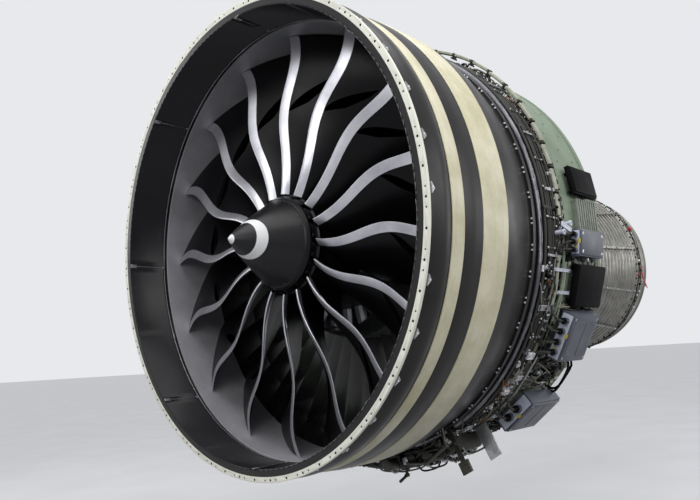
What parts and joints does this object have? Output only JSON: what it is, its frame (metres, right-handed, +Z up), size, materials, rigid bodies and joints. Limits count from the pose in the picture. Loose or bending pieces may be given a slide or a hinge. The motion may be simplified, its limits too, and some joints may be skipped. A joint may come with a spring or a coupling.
{
  "type": "turbofan engine",
  "caption": "Large bare turbofan with swept black composite fan blades, metal edge guards, white inlet flange, cream banded dark case and green aft barrel",
  "frame": {"origin": "centre of the inlet flange's front face, on the engine's axis", "axes": "+X to the engine's right as seen from the front, +Y aft along the shafts, +Z up to the mounts"},
  "size_m": [3.7145, 5.7, 3.891],
  "materials": {
    "blade_skin": "black coated composite, satin",
    "edge_metal": "smooth metal guard, satin",
    "spinner_black": "black paint, satin, one white patch",
    "rotor_alloy": "machined alloy",
    "flange_white": "white paint, matte",
    "case_dark": "dark woven composite, satin",
    "band_cream": "cream wrap, matte",
    "liner_dark": "dark perforated facing, satin",
    "shroud_grey": "grey abradable filler, matte",
    "frame_alloy": "cast alloy, matte",
    "ring_bright": "polished ring",
    "hot_alloy": "heat tinted alloy",
    "barrel_green": "green primer, matte",
    "harness_olive": "braided sleeves and clips",
    "unit_blue": "blue grey paint, satin",
    "cover_black": "black paint, satin",
    "pipe_steel": "drawn tube, dull"
  },
  "bodies": {
    "engine_carcass": {"inlet_flange_ring": "flange_white", "fan_case": "case_dark", "wrap_bands": "band_cream", "inlet_liner_panels": "liner_dark", "abradable_shroud": "shroud_grey", "aft_case_liner": "liner_dark", "frame_outer_ring": "case_dark", "polished_ring": "ring_bright", "flange_bolts": "ring_bright", "outlet_guide_vanes": "liner_dark", "fan_hub_frame": "frame_alloy", "splitter_nose": "frame_alloy", "booster_case": "frame_alloy", "core_compressor_case": "frame_alloy", "stator_vanes": "frame_alloy", "combustor_case": "hot_alloy", "combustor_liner": "hot_alloy", "fuel_nozzles": "pipe_steel", "turbine_center_frame": "hot_alloy", "low_turbine_case": "hot_alloy", "clearance_tubes": "hot_alloy", "turbine_rear_frame": "hot_alloy", "rear_plug": "hot_alloy", "main_bearings": "ring_bright", "aft_barrel": "barrel_green", "harness_ring": "harness_olive", "control_units": "unit_blue", "equipment_covers": "cover_black", "accessory_gearbox": "frame_alloy", "gearbox_units": "frame_alloy", "service_pipes": "pipe_steel", "engine_mounts": "frame_alloy"},
    "low_spool": {"fan_disk": "rotor_alloy", "spinner": "spinner_black", "spinner_rear_ring": "spinner_black", "blade_platforms": "spinner_black", "blade_edge_guards": "edge_metal", "fan_blade_01": "blade_skin", "fan_blade_02": "blade_skin", "fan_blade_03": "blade_skin", "fan_blade_04": "blade_skin", "fan_blade_05": "blade_skin", "fan_blade_06": "blade_skin", "fan_blade_07": "blade_skin", "fan_blade_08": "blade_skin", "fan_blade_09": "blade_skin", "fan_blade_10": "blade_skin", "fan_blade_11": "blade_skin", "fan_blade_12": "blade_skin", "fan_blade_13": "blade_skin", "fan_blade_14": "blade_skin", "fan_blade_15": "blade_skin", "fan_blade_16": "blade_skin", "low_shaft": "rotor_alloy", "booster_rotor": "rotor_alloy", "low_turbine_rotor": "hot_alloy"},
    "core_spool": {"core_compressor_rotor": "rotor_alloy", "core_turbine_rotor": "hot_alloy"},
    "tower_drive": {"radial_drive_shaft": "rotor_alloy"},
    "vane_control": {"unison_rings": "frame_alloy"}
  },
  "joints": [
    {"name": "fan_spin", "type": "hinge", "parent": "engine_carcass", "child": "low_spool", "pos_m": [0, 0.6, 0], "axis": [0, -1, 0], "continuous": true},
    {"name": "core_spin", "type": "hinge", "parent": "engine_carcass", "child": "core_spool", "pos_m": [0, 2.4, 0], "axis": [0, -1, 0], "continuous": true},
    {"name": "tower_spin", "type": "hinge", "parent": "engine_carcass", "child": "tower_drive", "pos_m": [0, 1.652, -1], "axis": [0, 0, -1], "continuous": true},
    {"name": "vane_shift", "type": "hinge", "parent": "engine_carcass", "child": "vane_control", "pos_m": [0, 2.065, 0], "axis": [0, -1, 0], "range_deg": [-6, 6]}
  ],
  "couplings": [
    {"joint": "tower_spin", "follows": "core_spin", "ratio": -5}
  ]
}
